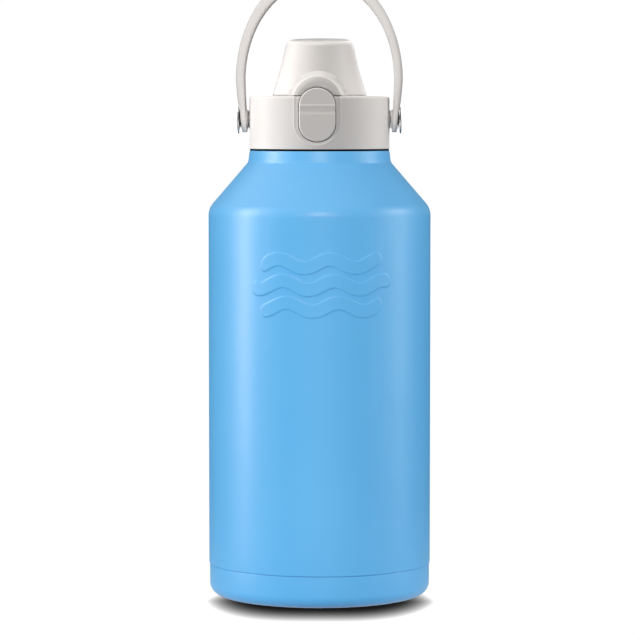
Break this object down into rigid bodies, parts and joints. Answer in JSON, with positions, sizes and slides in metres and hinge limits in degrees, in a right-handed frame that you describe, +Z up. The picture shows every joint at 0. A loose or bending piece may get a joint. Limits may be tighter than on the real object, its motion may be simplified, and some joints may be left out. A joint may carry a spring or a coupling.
{
  "type": "large insulated water jug",
  "caption": "Tall double-walled steel water jug with a screw lid, sprung flip cap over a spout, front release button and bail carry handle.",
  "frame": {"origin": "centre of the foot ring, on the floor plane", "axes": "+Z up along the body's axis; the button and the front face -Y; the handle's pivots lie along X"},
  "size_m": [0.118, 0.118, 0.3327],
  "materials": {
    "powder_coat": "satin sky-blue powder coat with a very fine texture",
    "bare_steel": "brushed stainless steel",
    "lid_plastic": "moulded off-white plastic with a soft sheen",
    "inner_plastic": "moulded grey plastic",
    "black_rubber": "matt black rubber",
    "silicone": "milky silicone",
    "nylon": "dark turned nylon",
    "seal_glass": "fused glass bead",
    "getter_metal": "sintered metal pellet"
  },
  "bodies": {
    "bottle": {"outer_shell": "powder_coat", "base_cup": "powder_coat", "base_disc": "bare_steel", "vacuum_seal": "seal_glass", "vacuum_getter": "getter_metal", "inner_liner": "bare_steel"},
    "seals": {"neck_gasket": "black_rubber", "lid_seal": "silicone"},
    "lid": {"lid_collar": "lid_plastic", "lid_insert": "inner_plastic", "hinge_pin": "bare_steel", "cap_spring": "bare_steel", "button_pin": "bare_steel", "button_spring": "bare_steel", "handle_rivet_left": "bare_steel", "handle_rivet_right": "bare_steel", "handle_bush_left": "nylon", "handle_bush_right": "nylon"},
    "cap": {"flip_cap": "lid_plastic", "cap_liner": "inner_plastic", "spout_seal": "silicone"},
    "button": {"release_button": "lid_plastic"},
    "handle": {"handle_strap": "lid_plastic"}
  },
  "joints": [
    {"name": "lid_rise", "type": "slide", "parent": "bottle", "child": "seals", "axis": [0, 0, 1], "range_m": [0, 0.018]},
    {"name": "lid_turn", "type": "hinge", "parent": "seals", "child": "lid", "pos_m": [0, 0, 0.2376], "axis": [0, 0, 1], "range_deg": [0, 810]},
    {"name": "cap_flip", "type": "hinge", "parent": "lid", "child": "cap", "pos_m": [0, 0.0265, 0.2625], "axis": [-1, 0, 0], "range_deg": [0, 110], "deforming": ["cap_spring"]},
    {"name": "button_press", "type": "hinge", "parent": "lid", "child": "button", "pos_m": [0, -0.033, 0.259], "axis": [1, 0, 0], "range_deg": [0, 6.5], "deforming": ["button_spring"]},
    {"name": "handle_swing", "type": "hinge", "parent": "lid", "child": "handle", "pos_m": [0, 0, 0.2532], "axis": [1, 0, 0], "range_deg": [-120, 120]}
  ],
  "couplings": [
    {"joint": "lid_rise", "follows": "lid_turn", "m_per_rad": 0.0012732}
  ]
}
